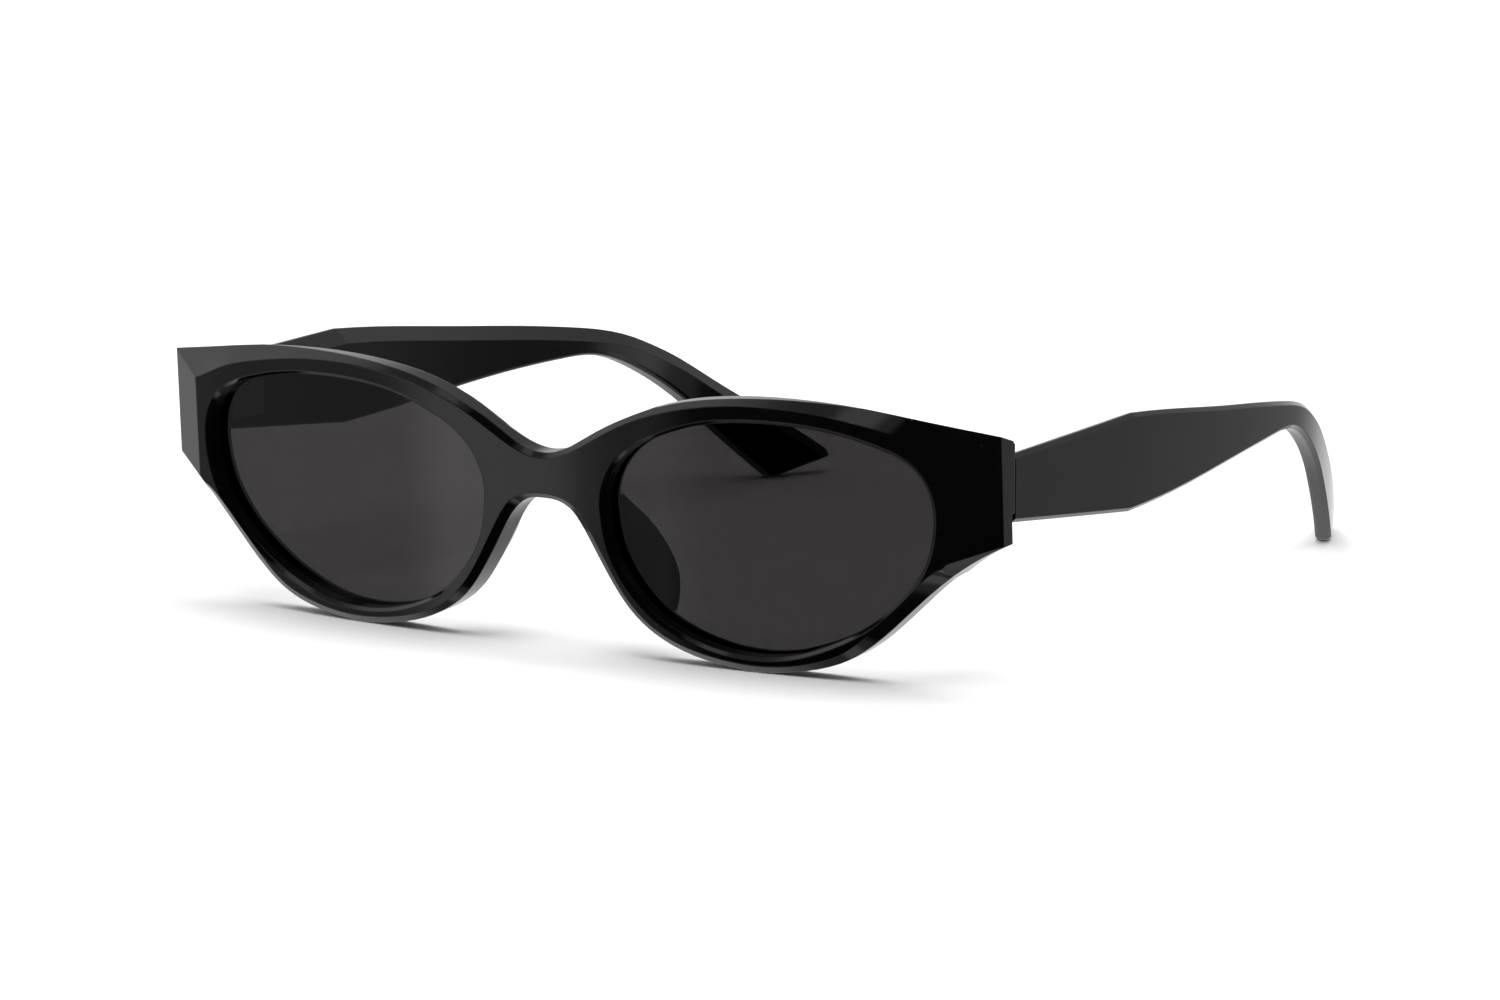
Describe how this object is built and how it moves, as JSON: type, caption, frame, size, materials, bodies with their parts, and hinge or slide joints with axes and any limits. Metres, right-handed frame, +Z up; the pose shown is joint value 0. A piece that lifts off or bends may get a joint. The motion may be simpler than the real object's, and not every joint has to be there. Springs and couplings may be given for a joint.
{
  "type": "cat eye sunglasses",
  "caption": "Narrow cat eye sunglasses in gloss black plastic with dark lenses, flat end facets and angular temples that fold on metal hinges.",
  "frame": {"origin": "on the surface the open glasses stand on, in the symmetry plane, midway between the front and the temple ends", "axes": "+X to the wearer's left, -Y the way the lenses face, +Z up; the temples run back along +Y"},
  "size_m": [0.142, 0.1518, 0.0398],
  "materials": {
    "front_plastic": "gloss black injection-moulded plastic",
    "temple_plastic": "gloss black plastic over a core wire",
    "lens_tint": "dark grey tinted polycarbonate",
    "hinge_metal": "satin nickel silver",
    "screw_metal": "bright steel",
    "nylon": "natural nylon",
    "wire_metal": "nickel silver wire"
  },
  "bodies": {
    "front": {"front_frame": "front_plastic", "lens_left": "lens_tint", "lens_right": "lens_tint", "nose_pad_left": "front_plastic", "nose_pad_right": "front_plastic", "front_leaf_left": "hinge_metal", "front_leaf_right": "hinge_metal", "hinge_screw_left": "screw_metal", "hinge_screw_right": "screw_metal", "hinge_washers_left": "nylon", "hinge_washers_right": "nylon", "front_leaf_screws_left": "screw_metal", "front_leaf_screws_right": "screw_metal"},
    "temple_left_body": {"temple_left": "temple_plastic", "temple_leaf_left": "hinge_metal", "temple_leaf_screws_left": "screw_metal", "core_wire_left": "wire_metal"},
    "temple_right_body": {"temple_right": "temple_plastic", "temple_leaf_right": "hinge_metal", "temple_leaf_screws_right": "screw_metal", "core_wire_right": "wire_metal"}
  },
  "joints": [
    {"name": "left_temple_fold", "type": "hinge", "parent": "front", "child": "temple_left_body", "pos_m": [0.0674, -0.06125, 0.02815], "axis": [0, 0, 1], "range_deg": [0, 84]},
    {"name": "right_temple_fold", "type": "hinge", "parent": "front", "child": "temple_right_body", "pos_m": [-0.0674, -0.06125, 0.02815], "axis": [0, 0, -1], "range_deg": [0, 80]}
  ]
}
